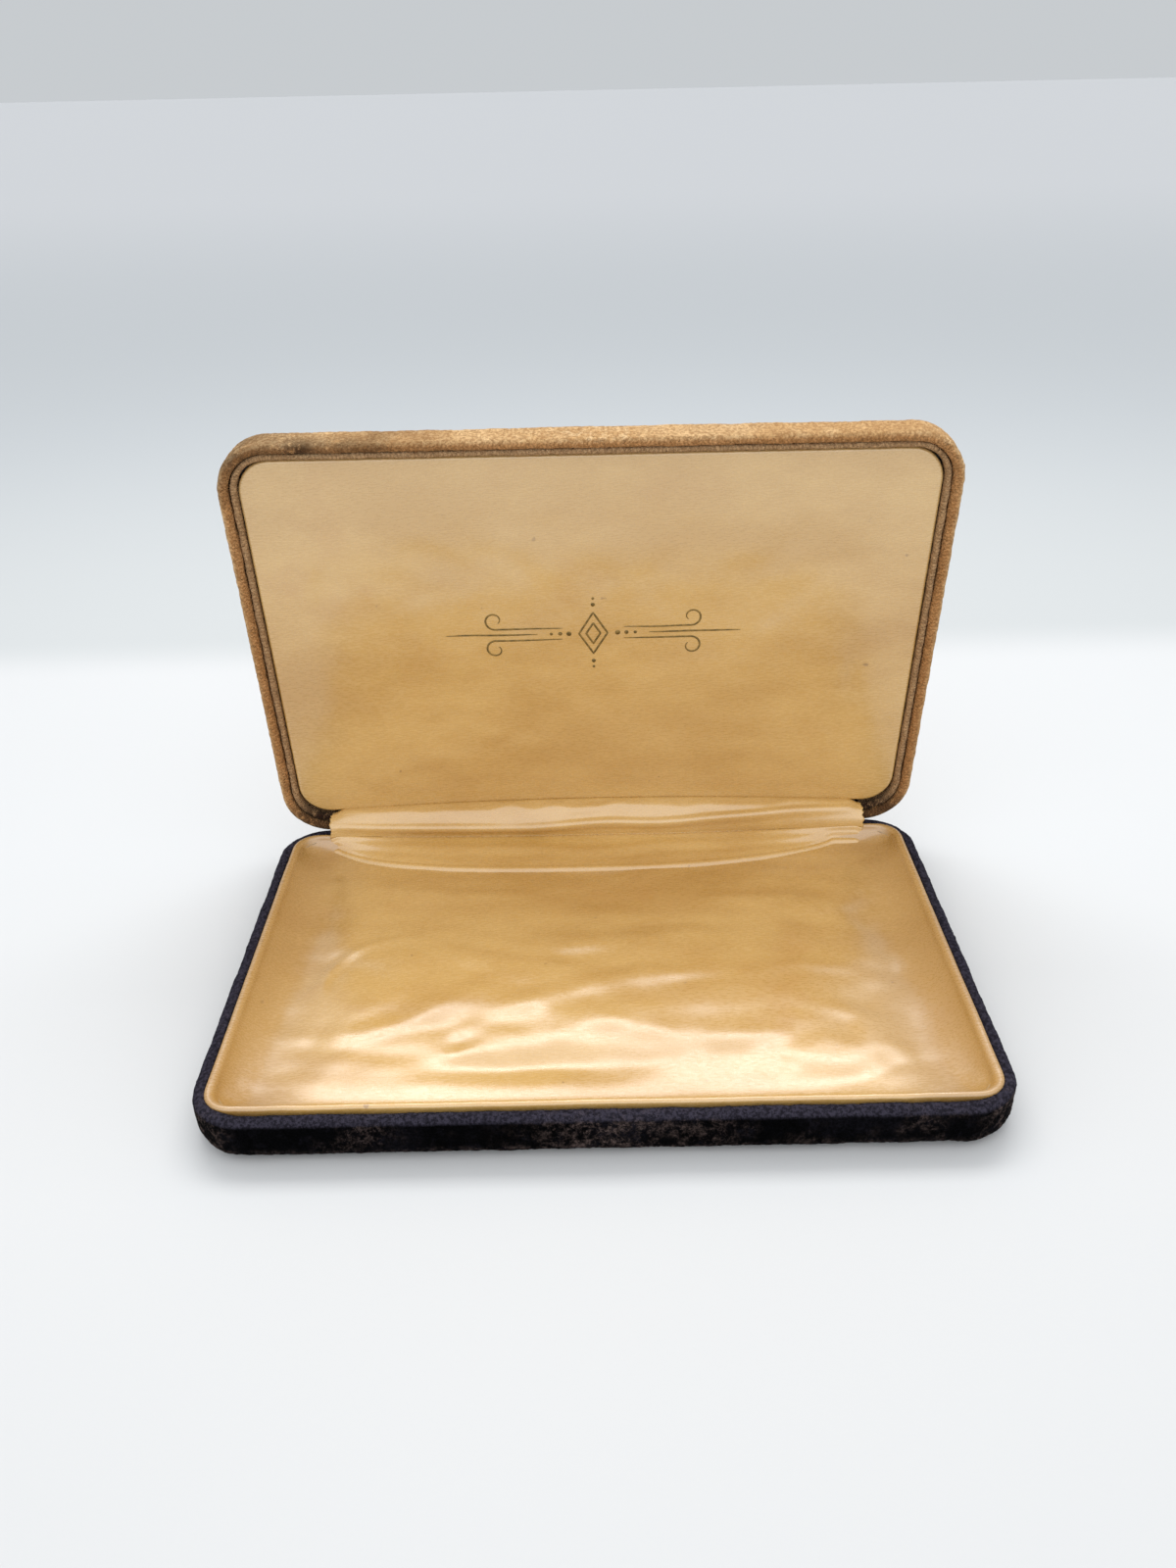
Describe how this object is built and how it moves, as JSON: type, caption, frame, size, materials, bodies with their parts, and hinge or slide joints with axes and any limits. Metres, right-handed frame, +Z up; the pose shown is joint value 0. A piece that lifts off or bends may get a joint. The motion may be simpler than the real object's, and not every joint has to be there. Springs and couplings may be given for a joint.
{
  "type": "jewelry presentation case",
  "caption": "Flat velvet-covered necklace presentation case with rounded corners, shown open, with padded satin linings and a sprung back hinge.",
  "frame": {"origin": "centre of the base's flat underside", "axes": "+Z up, -Y towards the front edge, +X to the right as seen from the front"},
  "size_m": [0.203, 0.1438, 0.1449],
  "materials": {
    "navy_velvet": "short pile velvet, worn along its edges",
    "tan_velvet": "short pile velvet, faded and ribbed by wear",
    "taupe_velvet": "short pile velvet, matted",
    "gold_satin": "silky satin weave with soft wrinkles",
    "cotton_wadding": "matte cotton wadding",
    "card": "matte greyboard",
    "tinplate": "pressed tinplate",
    "spring_steel": "hardened spring steel",
    "hinge_brass": "aged rolled brass"
  },
  "bodies": {
    "base": {"base_velvet_cover": "navy_velvet", "base_shell": "tinplate", "base_card_tray": "card", "base_wadding": "cotton_wadding", "base_satin_lining": "gold_satin", "hinge_base_leaf": "hinge_brass", "hinge_pin": "spring_steel", "hinge_gusset": "gold_satin", "base_rivet_1": "hinge_brass", "base_rivet_2": "hinge_brass", "base_rivet_3": "hinge_brass", "base_rivet_4": "hinge_brass"},
    "lid": {"lid_velvet_cover": "tan_velvet", "lid_velvet_lip": "taupe_velvet", "lid_shell": "tinplate", "lid_pad_card": "card", "lid_wadding": "cotton_wadding", "lid_satin_pad": "gold_satin", "hinge_lid_leaf": "hinge_brass", "lid_rivet_1": "hinge_brass", "lid_rivet_2": "hinge_brass", "lid_rivet_3": "hinge_brass", "lid_rivet_4": "hinge_brass"},
    "snap_springs": {"snap_spring_left": "spring_steel", "snap_spring_right": "spring_steel"}
  },
  "joints": [
    {"name": "lid_hinge", "type": "hinge", "parent": "base", "child": "lid", "pos_m": [0, 0.0654, 0.0132], "axis": [1, 0, 0], "range_deg": [0, 82], "deforming": ["hinge_gusset"]},
    {"name": "snap_spring_swing", "type": "hinge", "parent": "base", "child": "snap_springs", "pos_m": [0, 0.06435, 0.0098], "axis": [1, 0, 0], "range_deg": [0, 41]}
  ],
  "couplings": [
    {"joint": "snap_spring_swing", "follows": "lid_hinge", "ratio": 0.5}
  ]
}
